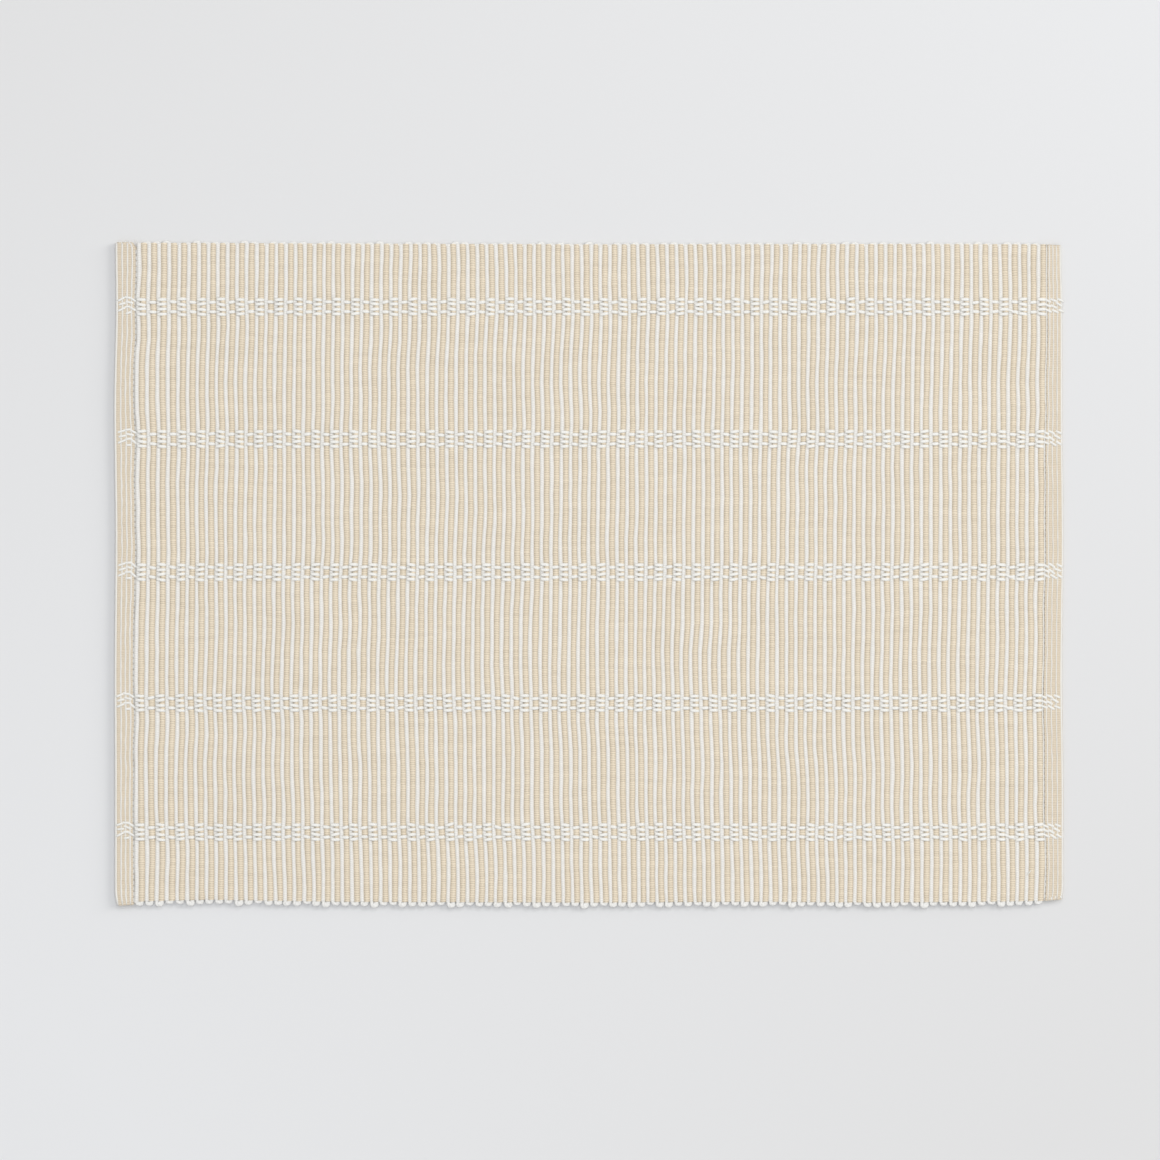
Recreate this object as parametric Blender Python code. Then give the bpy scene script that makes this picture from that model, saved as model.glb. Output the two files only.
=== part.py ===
"""A ribbed cotton placemat, lying flat: one woven cloth, hemmed at its two short ends.

X runs along the mat, Y along its ribs, Z up. The underside is flat on Z = 0.
"""

import math
from collections import namedtuple

import bmesh
import bpy
from mathutils import Matrix, Vector

# Driving sizes, in metres
LENGTH = 0.500  # between the two hems' outer edges
RIB_PAIRS = 95  # one narrow white rib and one wide beige rib each
FIRST_RIB_X = -0.2393  # left flank of the first white rib, from the middle of the mat
RIBBED_LENGTH = 0.4795  # all the rib pairs together, evenly spaced
WHITE_SHARE = 0.39  # of a rib pair's width, the rest is beige

GROOVE_HEIGHT = 0.0020  # between two ribs, above the floor
WHITE_CREST_HEIGHT = 0.0025
BEIGE_CREST_HEIGHT = 0.0029
SELVEDGE_HEIGHT = 0.0014  # of the ribs' outer ends, where the filling yarn turns back
SHOULDER = 0.0018  # from the woven edge to the ribs' full height

LEAN_AT_ENDS = 0.6  # of the lean in the middle of the mat

HEM_RIBS = 4
HEM_GROOVE_HEIGHT = 0.0018
HEM_CREST_HEIGHT = 0.0023
HEM_OUTER_HEIGHT = 0.0012

UPPER_LOOP_REACH = 0.0012
LOWER_LOOP_REACH = 0.0023
LOOP_UNEVENNESS = 0.25  # of a loop's reach, either way
LOOP_RHYTHM = (2.7, 1.3)  # radians from one loop to the next, of the two waves it comes from

BEIGE_AND_WHITE_COTTON = (0.76, 0.68, 0.55, 1.0)  # both yarns together, in linear light
COTTON_ROUGHNESS = 0.95

# How far the ribs stand to the right of even spacing, after this many rib pairs. The first
# few lie further apart than the rest.
Drift = namedtuple("Drift", "pairs beyond")
RIB_DRIFTS = (
    Drift(0, 0.0000),
    Drift(2, 0.0007),
    Drift(4, 0.0012),
    Drift(16, 0.0019),
    Drift(44, 0.0020),
    Drift(64, 0.0008),
    Drift(80, 0.0002),
    Drift(95, 0.0002),
)

# The woven edges, where the loops begin, at places along the mat
Edge = namedtuple("Edge", "x upper lower")
WOVEN_EDGES = (
    Edge(-0.2500, 0.1750, -0.1752),
    Edge(-0.2405, 0.1750, -0.1748),
    Edge(-0.2370, 0.1748, -0.1729),
    Edge(-0.2000, 0.1749, -0.1718),
    Edge(-0.1500, 0.1749, -0.1727),
    Edge(-0.1250, 0.1745, -0.1736),
    Edge(0.0000, 0.1742, -0.1737),
    Edge(0.1500, 0.1741, -0.1737),
    Edge(0.2000, 0.1740, -0.1730),
    Edge(0.2405, 0.1738, -0.1724),
    Edge(0.2500, 0.1734, -0.1719),
)

# Rows of points across the ribs, from the lower woven edge to the upper one. across is the
# share of the half width, lean how far the ribs stand to the left there, and left and right
# how far the two hems' outer edges stand out of line, along X.
Row = namedtuple("Row", "place across lean left right")
ROWS = (
    Row("edge", -1.0, 0.0002, 0.0001, 0.0003),
    Row("shoulder", -1.0, 0.0002, 0.0001, 0.0003),
    Row("body", -0.70, 0.0010, 0.0006, 0.0008),
    Row("body", -0.30, 0.0018, 0.0009, -0.0001),
    Row("body", 0.11, 0.0009, 0.0008, 0.0008),
    Row("body", 0.50, 0.0006, 0.0000, -0.0004),
    Row("body", 0.82, -0.0003, 0.0001, -0.0008),
    Row("shoulder", 1.0, -0.0002, -0.0002, -0.0010),
    Row("edge", 1.0, -0.0002, -0.0002, -0.0012),
)

# Points across one rib pair. share is of that rib's width, height is above the floor, and
# upper and lower are the shares of a loop's reach past the two woven edges.
Point = namedtuple("Point", "rib share height upper lower")
RIB_SECTION = (
    Point("white", 0.00, GROOVE_HEIGHT, 0.95, 0.00),
    Point("white", 0.50, WHITE_CREST_HEIGHT, 0.70, 0.80),
    Point("beige", 0.00, GROOVE_HEIGHT, 0.00, 0.95),
    Point("beige", 0.27, BEIGE_CREST_HEIGHT, 0.60, 1.00),
    Point("beige", 0.73, BEIGE_CREST_HEIGHT, 1.00, 0.70),
)

# A line of points along a rib. upper and lower are how far it reaches past the woven edges,
# and hem is 1 at a hem's outer edge and 0 where the ribs begin.
Column = namedtuple("Column", "x height upper lower hem")


def loop_size(pair):
    """A rib pair's loops against the mean one, as uneven as a turned yarn lies."""
    first, second = LOOP_RHYTHM
    return 1.0 + LOOP_UNEVENNESS * math.sin(first * pair) * math.cos(second * pair)


def rib_x(pairs):
    """Where the ribs lie along the mat after this many pairs, before they lean."""
    even = FIRST_RIB_X + RIBBED_LENGTH * pairs / RIB_PAIRS
    for start, end in zip(RIB_DRIFTS, RIB_DRIFTS[1:]):
        if pairs <= end.pairs:
            share = (pairs - start.pairs) / (end.pairs - start.pairs)
            return even + start.beyond + (end.beyond - start.beyond) * share
    return even + RIB_DRIFTS[-1].beyond


def hem_columns(outer_x, inner_x):
    """A hem's fine ribs, from its outer edge inwards."""
    columns = [Column(outer_x, HEM_OUTER_HEIGHT, 0.0, 0.0, 1.0)]
    steps = 2 * HEM_RIBS
    for step in range(1, steps):
        share = step / steps
        height = HEM_CREST_HEIGHT if step % 2 else HEM_GROOVE_HEIGHT
        columns.append(Column(outer_x + (inner_x - outer_x) * share, height, 0.0, 0.0, 1.0 - share))
    return columns


def rib_columns():
    """All the rib pairs, with the flank that closes the last one."""
    columns = []
    for pair in range(RIB_PAIRS):
        size = loop_size(pair)
        for point in RIB_SECTION:
            if point.rib == "white":
                across = WHITE_SHARE * point.share
            else:
                across = WHITE_SHARE + (1.0 - WHITE_SHARE) * point.share
            upper = UPPER_LOOP_REACH * point.upper * size
            lower = LOWER_LOOP_REACH * point.lower * size
            columns.append(Column(rib_x(pair + across), point.height, upper, lower, 0.0))
    columns.append(Column(rib_x(RIB_PAIRS), GROOVE_HEIGHT, 0.0, 0.0, 0.0))
    return columns


def all_columns():
    """Every column of the mat, from the left hem's outer edge to the right hem's."""
    left = hem_columns(-LENGTH / 2, rib_x(0))
    right = hem_columns(LENGTH / 2, rib_x(RIB_PAIRS))
    return left + rib_columns() + right[::-1]


def woven_edge(x):
    """The two woven edges at a place along the mat."""
    for start, end in zip(WOVEN_EDGES, WOVEN_EDGES[1:]):
        if x <= end.x:
            share = (x - start.x) / (end.x - start.x)
            upper = start.upper + (end.upper - start.upper) * share
            lower = start.lower + (end.lower - start.lower) * share
            return Edge(x, upper, lower)
    return WOVEN_EDGES[-1]


def surface_point(column, row):
    """A point of the mat's upper face."""
    edge = woven_edge(column.x)
    at_top = row.across > 0
    height = column.height
    if row.place == "edge":
        y = edge.upper + column.upper if at_top else edge.lower - column.lower
        height = min(height, SELVEDGE_HEIGHT)
    elif row.place == "shoulder":
        y = edge.upper - SHOULDER if at_top else edge.lower + SHOULDER
    else:
        y = row.across * (edge.upper if at_top else -edge.lower)
    from_middle = column.x / (LENGTH / 2)
    lean = row.lean * (1.0 - (1.0 - LEAN_AT_ENDS) * from_middle**2)
    out_of_line = (row.left if column.x < 0 else row.right) * column.hem
    return Vector((column.x - lean + out_of_line, y, height))


def woven_mat():
    """The ribbed upper face from a grid, its rim drawn down to the floor and closed there."""
    columns = all_columns()
    last_column = len(columns) - 1
    last_row = len(ROWS) - 1
    bm = bmesh.new()
    bmesh.ops.create_grid(bm, x_segments=last_column, y_segments=last_row, size=0.5)
    for vert in bm.verts:
        column = columns[round((vert.co.x + 0.5) * last_column)]
        row = ROWS[round((vert.co.y + 0.5) * last_row)]
        vert.co = surface_point(column, row)
    rim = [edge for edge in bm.edges if edge.is_boundary]
    for item in bmesh.ops.extrude_edge_only(bm, edges=rim)["geom"]:
        if isinstance(item, bmesh.types.BMVert):
            item.co.z = 0.0
    foot = [edge for edge in bm.edges if edge.is_boundary]
    bmesh.ops.contextual_create(bm, geom=foot)
    bmesh.ops.recalc_face_normals(bm, faces=bm.faces)
    mesh = bpy.data.meshes.new("placemat_cloth")
    bm.to_mesh(mesh)
    bm.free()
    return mesh


def centre_on_origin(mesh):
    """Moves the mesh so that the middle of its box lies over the origin."""
    xs = [vert.co.x for vert in mesh.vertices]
    ys = [vert.co.y for vert in mesh.vertices]
    middle = Vector(((min(xs) + max(xs)) / 2, (min(ys) + max(ys)) / 2, 0.0))
    mesh.transform(Matrix.Translation(-middle))


def cotton():
    """Beige and undyed cotton, matt."""
    material = bpy.data.materials.new("cotton")
    material.use_nodes = True
    shader = material.node_tree.nodes["Principled BSDF"]
    shader.inputs["Base Color"].default_value = BEIGE_AND_WHITE_COTTON
    shader.inputs["Roughness"].default_value = COTTON_ROUGHNESS
    shader.inputs["Metallic"].default_value = 0.0
    return material


for thing in list(bpy.data.objects):
    bpy.data.objects.remove(thing, do_unlink=True)

collection = bpy.data.collections.new("placemat")
bpy.context.scene.collection.children.link(collection)

cloth = bpy.data.objects.new("placemat_cloth", woven_mat())
centre_on_origin(cloth.data)
cloth.data.materials.append(cotton())
collection.objects.link(cloth)
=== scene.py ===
"""A ribbed cotton placemat lying flat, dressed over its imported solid.

X runs along the mat, Y along its ribs, Z up, all in metres. The cloth is two sets of warp
threads, beige and white, that change places over thick and thin filling cords in turn.
"""

import math
from collections import namedtuple

import bmesh
import bpy
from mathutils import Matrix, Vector, noise


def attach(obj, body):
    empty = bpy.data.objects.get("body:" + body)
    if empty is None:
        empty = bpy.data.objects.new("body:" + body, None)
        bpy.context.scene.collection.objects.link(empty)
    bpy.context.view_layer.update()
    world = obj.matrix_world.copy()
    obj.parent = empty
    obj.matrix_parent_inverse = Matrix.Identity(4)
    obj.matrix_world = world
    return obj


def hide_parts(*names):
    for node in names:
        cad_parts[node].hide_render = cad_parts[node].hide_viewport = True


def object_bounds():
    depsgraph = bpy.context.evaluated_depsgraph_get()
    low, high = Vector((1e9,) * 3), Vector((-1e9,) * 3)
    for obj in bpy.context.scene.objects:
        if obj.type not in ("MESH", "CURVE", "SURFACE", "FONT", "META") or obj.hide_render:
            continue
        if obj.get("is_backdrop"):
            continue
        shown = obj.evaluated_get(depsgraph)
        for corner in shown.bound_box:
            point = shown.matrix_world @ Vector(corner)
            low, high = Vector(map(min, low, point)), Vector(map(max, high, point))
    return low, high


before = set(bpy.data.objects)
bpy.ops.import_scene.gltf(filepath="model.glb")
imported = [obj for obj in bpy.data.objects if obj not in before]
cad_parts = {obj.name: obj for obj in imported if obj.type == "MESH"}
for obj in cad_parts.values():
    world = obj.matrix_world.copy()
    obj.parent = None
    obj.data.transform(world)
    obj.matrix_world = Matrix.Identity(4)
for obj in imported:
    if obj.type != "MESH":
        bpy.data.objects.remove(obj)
cad_low, cad_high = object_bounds()

# The camera
# It looks straight down on the mat from above, as in the photograph, with the
# mat a little right of the middle of the frame, whose width is taken at the ribs' crests.
CAMERA_HEIGHT = 1.5
CREST_HEIGHT = 0.0027
FRAME_MIDDLE = (-0.0051, -0.0032)
FRAME_WIDTH = 0.6121
SENSOR = 36.0

camera = bpy.data.objects.new("camera", bpy.data.cameras.new("camera"))
bpy.context.scene.collection.objects.link(camera)
camera.location = (*FRAME_MIDDLE, CAMERA_HEIGHT)
camera.data.sensor_width = SENSOR
camera.data.lens = SENSOR * (CAMERA_HEIGHT - CREST_HEIGHT) / FRAME_WIDTH
camera.data.clip_start = 0.05
bpy.context.scene.camera = camera

# The beige warp
# Beige cotton threads run along the mat, packed side by side. They rise over each thick
# filling cord, which makes a wide beige rib, and pass under the thin one beside it.
LENGTH = 0.500
RIB_PAIRS = 95
FIRST_RIB_X = -0.2393
RIBBED_LENGTH = 0.4795
WHITE_SHARE = 0.39
WHITE_FROM = -0.022  # where the white threads come up beside a rib, in rib pairs
WHITE_TO = 0.408
CENTRED_BY = Vector((0.00005, 0.00010, 0.0))  # as the solid is, on the middle of its box

MIDDLE_HEIGHT = 0.00145  # of the filling cords' middles above the floor
THREAD_THICKNESS = 0.00040
OVER_THICK = 0.00125  # from the cords' middle to the middle of the threads
OVER_THIN = 0.00085
THREAD_PITCH = 0.00122  # from one warp thread to the next

# How far the ribs stand to the right of even spacing, after this many rib pairs
Drift = namedtuple("Drift", "pairs beyond")
RIB_DRIFTS = (
    Drift(0, 0.0000),
    Drift(2, 0.0007),
    Drift(4, 0.0012),
    Drift(16, 0.0019),
    Drift(44, 0.0020),
    Drift(64, 0.0008),
    Drift(80, 0.0002),
    Drift(95, 0.0002),
)

# The woven edges at places along the mat, before it is centred
Edge = namedtuple("Edge", "x upper lower")
WOVEN_EDGES = (
    Edge(-0.2500, 0.1750, -0.1752),
    Edge(-0.2405, 0.1750, -0.1748),
    Edge(-0.2370, 0.1747, -0.1729),
    Edge(-0.2000, 0.1745, -0.1720),
    Edge(-0.1500, 0.1743, -0.1728),
    Edge(-0.1250, 0.1742, -0.1731),
    Edge(0.0000, 0.1738, -0.1735),
    Edge(0.0900, 0.1739, -0.1730),
    Edge(0.1500, 0.1740, -0.1735),
    Edge(0.2000, 0.1740, -0.1731),
    Edge(0.2405, 0.1738, -0.1726),
    Edge(0.2500, 0.1734, -0.1719),
)

# Lines across the mat. across is the share of its half width. The leans are how far the ribs
# stand to the left there, at the mat's left end, middle and right end, and left and right
# how far the hems' outer edges stand out of line.
Line = namedtuple("Line", "across lean_left lean lean_right left right")
LINES = (
    Line(-1.00, 0.0012, 0.0001, 0.0005, 0.0023, 0.0004),
    Line(-0.96, 0.0012, 0.0001, 0.0005, 0.0012, 0.0009),
    Line(-0.70, 0.0014, 0.0009, 0.0011, 0.0014, 0.0016),
    Line(-0.30, 0.0008, 0.0020, 0.0011, 0.0006, 0.0009),
    Line(0.11, 0.0002, 0.0010, 0.0005, 0.0005, 0.0010),
    Line(0.50, 0.0007, 0.0006, 0.0002, 0.0003, 0.0001),
    Line(0.82, 0.0000, -0.0003, -0.0006, 0.0006, -0.0009),
    Line(0.98, -0.0002, -0.0002, -0.0008, 0.0001, -0.0017),
    Line(1.00, -0.0002, -0.0002, -0.0008, 0.0001, -0.0019),
)

GROOVE_WANDER = 0.00036  # of each groove by itself
RIB_SWELL = 0.10  # of a rib's rise, either way along it
MOST_SUNK = 0.99  # of the depth under a cord, so that the sheet stays off the floor

# A row of points across the ribs. side is 1 at the upper woven edge, -1 at the lower one and
# 0 between them, inset the distance from that edge, and rise the share of the full height.
Row = namedtuple("Row", "side inset across rise")
EDGE_STEPS = ((0.0, 0.88), (0.0004, 0.96), (0.0013, 1.0))
ROWS_BETWEEN = 46
OUTERMOST_ROW = 0.965  # share of the half width

# Points over one cord, from groove to groove, and under one. rise is 1 at the crest.
Point = namedtuple("Point", "share rise")
OVER_CORD = (
    Point(0.00, 0.0),
    Point(0.11, 0.42),
    Point(0.33, 0.86),
    Point(0.50, 1.0),
    Point(0.67, 0.86),
    Point(0.89, 0.42),
)
UNDER_CORD = (
    Point(0.00, 0.0),
    Point(0.20, 0.70),
    Point(0.50, 1.0),
    Point(0.80, 0.70),
)

# The beige cotton's painted shade between two threads, and its lit colour on their backs; streaks and
# fibres also move its colour between the two.
BEIGE_SHADED = (0.548, 0.461, 0.346, 1.0)  # between two threads
BEIGE_LIT = (0.831, 0.728, 0.575, 1.0)
THREAD_SWAY = 0.0022
NEXT_THREAD = 7.31  # from one thread's streaks to the next one's, in their noise
STREAKS_PER_METRE = 38.0
CLOTH_FIBRE_RELIEF = 0.16  # of a thread's own relief
COTTON_SHINE = 0.25


def rib_x(pairs):
    """Where the ribs lie along the mat after this many pairs, before they lean."""
    even = FIRST_RIB_X + RIBBED_LENGTH * pairs / RIB_PAIRS
    for start, end in zip(RIB_DRIFTS, RIB_DRIFTS[1:]):
        if pairs <= end.pairs:
            share = (pairs - start.pairs) / (end.pairs - start.pairs)
            return even + start.beyond + (end.beyond - start.beyond) * share
    return even + RIB_DRIFTS[-1].beyond


def woven_edge(x):
    """The two woven edges at a place along the mat."""
    for start, end in zip(WOVEN_EDGES, WOVEN_EDGES[1:]):
        if x <= end.x:
            share = (x - start.x) / (end.x - start.x)
            upper = start.upper + (end.upper - start.upper) * share
            lower = start.lower + (end.lower - start.lower) * share
            return Edge(x, upper, lower)
    return WOVEN_EDGES[-1]


def line_at(across):
    """How the mat stands out of line at a share of its half width, smoothly between LINES."""
    for start, end in zip(LINES, LINES[1:]):
        if across <= end.across:
            share = max((across - start.across) / (end.across - start.across), 0.0)
            share = share * share * (3.0 - 2.0 * share)
            return Line(across, *(a + (b - a) * share for a, b in zip(start[1:], end[1:])))
    return LINES[-1]


def wander(x, y, length, seed):
    """A smooth unevenness from -1 to 1, the same in each run."""
    return noise.noise(Vector((x / length, y / length, seed)))


def placed(x, y, z, outer=0.0):
    """A point of the mat from its place on straight ribs. outer is 1 at a hem's outer edge."""
    edge = woven_edge(x)
    across = y / (edge.upper if y > 0 else -edge.lower)
    line = line_at(max(-1.0, min(1.0, across)))
    end = x / (LENGTH / 2)
    twist = (line.lean_right - line.lean_left) / 2.0
    bow = (line.lean_right + line.lean_left) / 2.0 - line.lean
    lean = line.lean + twist * end + bow * end * end
    out_of_line = (line.left if x < 0 else line.right) * outer
    shared = 0.0007 * wander(x * 0.35, y, 0.021, 1.5) + 0.0004 * wander(x, y * 0.4, 0.012, 7.5)
    return Vector((x - lean + out_of_line + shared * (1.0 - outer), y, z)) + CENTRED_BY


def weave_rows():
    """All the rows of a warp sheet, from the lower woven edge to the upper one."""
    lower = [Row(-1, inset, 0.0, rise) for inset, rise in EDGE_STEPS]
    upper = [Row(1, inset, 0.0, rise) for inset, rise in reversed(EDGE_STEPS)]
    between = []
    for step in range(ROWS_BETWEEN):
        across = -OUTERMOST_ROW + 2.0 * OUTERMOST_ROW * step / (ROWS_BETWEEN - 1)
        between.append(Row(0, 0.0, across, 1.0))
    return lower + between + upper


def row_y(row, x):
    """Where a row lies at a place along the mat."""
    edge = woven_edge(x)
    if row.side > 0:
        return edge.upper - row.inset
    if row.side < 0:
        return edge.lower + row.inset
    return row.across * (edge.upper if row.across > 0 else -edge.lower)


def groove_shares(number):
    """A groove between two ribs, as a number of rib pairs. Even ones lie left of a white rib."""
    return number // 2 + (WHITE_TO if number % 2 else WHITE_FROM)


def groove_point(number, row):
    """Where a groove crosses a row. Each groove wanders a little on its own too."""
    x = rib_x(groove_shares(number))
    y = row_y(row, x)
    own = GROOVE_WANDER * noise.noise(Vector((number * 1.7, y / 0.012, 3.0)))
    return placed(x, y, MIDDLE_HEIGHT) + Vector((own, 0.0, 0.0))


def warp_sheet(name, white):
    """One set of warp threads, as a thin sheet that waves over and under the cords."""
    rows = weave_rows()
    grooves = [[groove_point(number, row) for number in range(2 * RIB_PAIRS + 1)] for row in rows]
    columns = []
    for number in range(2 * RIB_PAIRS):
        over_thin = number % 2 == 0
        upward = over_thin == white
        height = OVER_THIN if over_thin else OVER_THICK
        for point in OVER_CORD if upward else UNDER_CORD:
            rise = height * point.rise * (1.0 if upward else -1.0)
            columns.append((number, point.share, rise))
    columns.append((2 * RIB_PAIRS - 1, 1.0, 0.0))
    points = []
    for row, line in zip(rows, grooves):
        for number, share, rise in columns:
            place = line[number].lerp(line[number + 1], share)
            swell = 1.0 + RIB_SWELL * noise.noise(Vector((number * 2.3, place.y / 0.009, 5.0)))
            place.z += rise * row.rise * (swell if rise > 0.0 else min(swell, MOST_SUNK))
            points.append(place)
    wide = len(columns)
    faces = []
    for across in range(len(rows) - 1):
        for along in range(wide - 1):
            corner = across * wide + along
            faces.append((corner, corner + 1, corner + wide + 1, corner + wide))
    return sheet_piece(name, points, faces, THREAD_THICKNESS)


def sheet_piece(name, points, faces, thickness):
    """A closed thin sheet from its middle face."""
    mesh = bpy.data.meshes.new(name)
    mesh.from_pydata(points, [], faces)
    piece = bpy.data.objects.new(name, mesh)
    bpy.context.scene.collection.objects.link(piece)
    bpy.ops.object.select_all(action="DESELECT")
    piece.select_set(True)
    bpy.context.view_layer.objects.active = piece
    wall = piece.modifiers.new("thickness", "SOLIDIFY")
    wall.thickness = thickness
    wall.offset = 0.0
    wall.use_even_offset = True
    bpy.ops.object.modifier_apply(modifier=wall.name)
    bpy.ops.object.shade_smooth_by_angle(angle=math.radians(75.0))
    return piece


def add_node(tree, kind, settings=None, inputs=None):
    """A shader node with its settings, and with each input given a value or a link."""
    made = tree.nodes.new(kind)
    for name, value in (settings or {}).items():
        setattr(made, name, value)
    for name, value in (inputs or {}).items():
        if isinstance(value, bpy.types.NodeSocket):
            tree.links.new(value, made.inputs[name])
        else:
            made.inputs[name].default_value = value
    return made


def blank_group(name, inputs, outputs):
    """A shader node group with its sockets, and the nodes that stand for them inside it."""
    group = bpy.data.node_groups.new(name, "ShaderNodeTree")
    for label, kind, value in inputs:
        socket = group.interface.new_socket(label, in_out="INPUT", socket_type=kind)
        if value is not None:
            socket.default_value = value
    for label in outputs:
        group.interface.new_socket(label, in_out="OUTPUT", socket_type="NodeSocketFloat")
    return group, group.nodes.new("NodeGroupInput"), group.nodes.new("NodeGroupOutput")


def packed_threads_group():
    """Cotton threads side by side along X: their round backs, slubs, streaks and fibres, with painted
    shade between the threads and in the grooves.
    """
    group, given, result = blank_group(
        "packed threads",
        (
            ("Position", "NodeSocketVector", None),
            ("Thread Pitch", "NodeSocketFloat", THREAD_PITCH),
            ("Shift", "NodeSocketFloat", 0.0),
            ("Streaks", "NodeSocketFloat", 0.25),
            ("Fibres", "NodeSocketFloat", 0.25),
            ("Groove Shade", "NodeSocketFloat", 0.5),
        ),
        ("Shade", "Relief"),
    )
    place = given.outputs["Position"]
    drift = add_node(
        group, "ShaderNodeTexNoise", {}, {"Vector": place, "Scale": 55.0, "Detail": 2.0}
    )
    split = add_node(group, "ShaderNodeSeparateXYZ", {}, {"Vector": place})
    sway = add_node(
        group, "ShaderNodeMath", {"operation": "MULTIPLY_ADD"},
        {0: drift.outputs["Fac"], 1: THREAD_SWAY, 2: split.outputs["Y"]},
    )
    turns = add_node(
        group, "ShaderNodeMath", {"operation": "DIVIDE"},
        {0: sway.outputs[0], 1: given.outputs["Thread Pitch"]},
    )
    shifted = add_node(
        group, "ShaderNodeMath", {"operation": "ADD"},
        {0: turns.outputs[0], 1: given.outputs["Shift"]},
    )
    half_turn = add_node(
        group, "ShaderNodeMath", {"operation": "MULTIPLY"}, {0: shifted.outputs[0], 1: math.pi}
    )
    wave = add_node(group, "ShaderNodeMath", {"operation": "SINE"}, {0: half_turn.outputs[0]})
    size = add_node(group, "ShaderNodeMath", {"operation": "ABSOLUTE"}, {0: wave.outputs[0]})
    # The threads' round backs give the relief, and painted shade between the threads in the colour.
    backs = add_node(group, "ShaderNodeMath", {"operation": "POWER"}, {0: size.outputs[0], 1: 0.5})
    number = add_node(group, "ShaderNodeMath", {"operation": "FLOOR"}, {0: shifted.outputs[0]})
    far_apart = add_node(
        group, "ShaderNodeMath", {"operation": "MULTIPLY"}, {0: number.outputs[0], 1: NEXT_THREAD}
    )
    slow_x = add_node(
        group, "ShaderNodeMath", {"operation": "MULTIPLY"}, {0: split.outputs["X"], 1: STREAKS_PER_METRE}
    )
    thread_place = add_node(
        group, "ShaderNodeCombineXYZ", {}, {"X": slow_x.outputs[0], "Y": far_apart.outputs[0]}
    )
    streak = add_node(
        group, "ShaderNodeTexNoise", {},
        {"Vector": thread_place.outputs[0], "Scale": 1.0, "Detail": 3.0, "Roughness": 0.6},
    )
    drawn_out = add_node(
        group, "ShaderNodeMapping", {}, {"Vector": place, "Scale": (1.0, 2.4, 1.0)}
    )
    fibre = add_node(
        group, "ShaderNodeTexNoise", {},
        {"Vector": drawn_out.outputs[0], "Scale": 1500.0, "Detail": 3.0, "Roughness": 0.65},
    )
    streak_part = add_node(
        group, "ShaderNodeMapRange", {"clamp": False},
        {"Value": streak.outputs["Fac"], "From Min": 0.25, "From Max": 0.75,
         "To Min": -1.0, "To Max": 1.0},
    )
    fibre_part = add_node(
        group, "ShaderNodeMapRange", {"clamp": False},
        {"Value": fibre.outputs["Fac"], "From Min": 0.25, "From Max": 0.75,
         "To Min": -1.0, "To Max": 1.0},
    )
    streaked = add_node(
        group, "ShaderNodeMath", {"operation": "MULTIPLY_ADD"},
        {0: streak_part.outputs[0], 1: given.outputs["Streaks"], 2: backs.outputs[0]},
    )
    fibrous = add_node(
        group, "ShaderNodeMath", {"operation": "MULTIPLY_ADD"},
        {0: fibre_part.outputs[0], 1: given.outputs["Fibres"], 2: streaked.outputs[0]},
    )
    # Painted groove shade: the cloth is coloured darker where it lies near the cords' middle height, in
    # the grooves between ribs, fully within 0.4 mm of it and not at all beyond 1.2 mm.
    from_middle = add_node(
        group, "ShaderNodeMath", {"operation": "SUBTRACT"}, 
        {0: split.outputs["Z"], 1: MIDDLE_HEIGHT},
    )
    away = add_node(group, "ShaderNodeMath", {"operation": "ABSOLUTE"}, {0: from_middle.outputs[0]})
    painted_groove_shade = add_node(
        group, "ShaderNodeMapRange", {},
        {
            "Value": away.outputs[0],
            "From Min": 0.0004,
            "From Max": 0.0012,
            "To Min": -1.0,
            "To Max": 0.0,
        },
    )
    shade = add_node(
        group, "ShaderNodeMath", {"operation": "MULTIPLY_ADD", "use_clamp": True},
        {0: painted_groove_shade.outputs[0], 1: given.outputs["Groove Shade"], 2: fibrous.outputs[0]},
    )
    relief = add_node(
        group, "ShaderNodeMath", {"operation": "MULTIPLY_ADD"},
        {0: fibre_part.outputs[0], 1: CLOTH_FIBRE_RELIEF, 2: backs.outputs[0]},
    )
    group.links.new(shade.outputs[0], result.inputs["Shade"])
    group.links.new(relief.outputs[0], result.inputs["Relief"])
    return group


packed_threads = packed_threads_group()


def cotton_material(name, shaded, crest, shift, streaks, fibres, relief, groove_shade):
    """Matt cotton cloth of packed threads, its colour running from painted shade between them to the lit
    crest colour on their backs, and darker in the grooves by painted groove shade.
    """
    material = bpy.data.materials.new(name)
    material.use_nodes = True
    tree = material.node_tree
    shader = tree.nodes["Principled BSDF"]
    place = add_node(tree, "ShaderNodeTexCoord")
    threads = add_node(
        tree, "ShaderNodeGroup", {"node_tree": packed_threads},
        {
            "Position": place.outputs["Object"],
            "Shift": shift,
            "Streaks": streaks,
            "Fibres": fibres,
            "Groove Shade": groove_shade,
        },
    )
    colour = add_node(
        tree, "ShaderNodeMix", {"data_type": "RGBA"},
        {0: threads.outputs["Shade"], 6: shaded, 7: crest},
    )
    rough = add_node(
        tree, "ShaderNodeMapRange", {},
        {"Value": threads.outputs["Shade"], "To Min": 1.0, "To Max": 0.86},
    )
    bump = add_node(
        tree, "ShaderNodeBump", {},
        {"Height": threads.outputs["Relief"], "Strength": relief, "Distance": 0.0003},
    )
    tree.links.new(colour.outputs[2], shader.inputs["Base Color"])
    tree.links.new(rough.outputs[0], shader.inputs["Roughness"])
    tree.links.new(bump.outputs[0], shader.inputs["Normal"])
    shader.inputs["Specular IOR Level"].default_value = COTTON_SHINE
    return material


beige_cotton = cotton_material(
    "beige cotton", BEIGE_SHADED, BEIGE_LIT,
    shift=0.0, streaks=0.25, fibres=0.36, relief=0.6, groove_shade=0.6,
)

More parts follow.
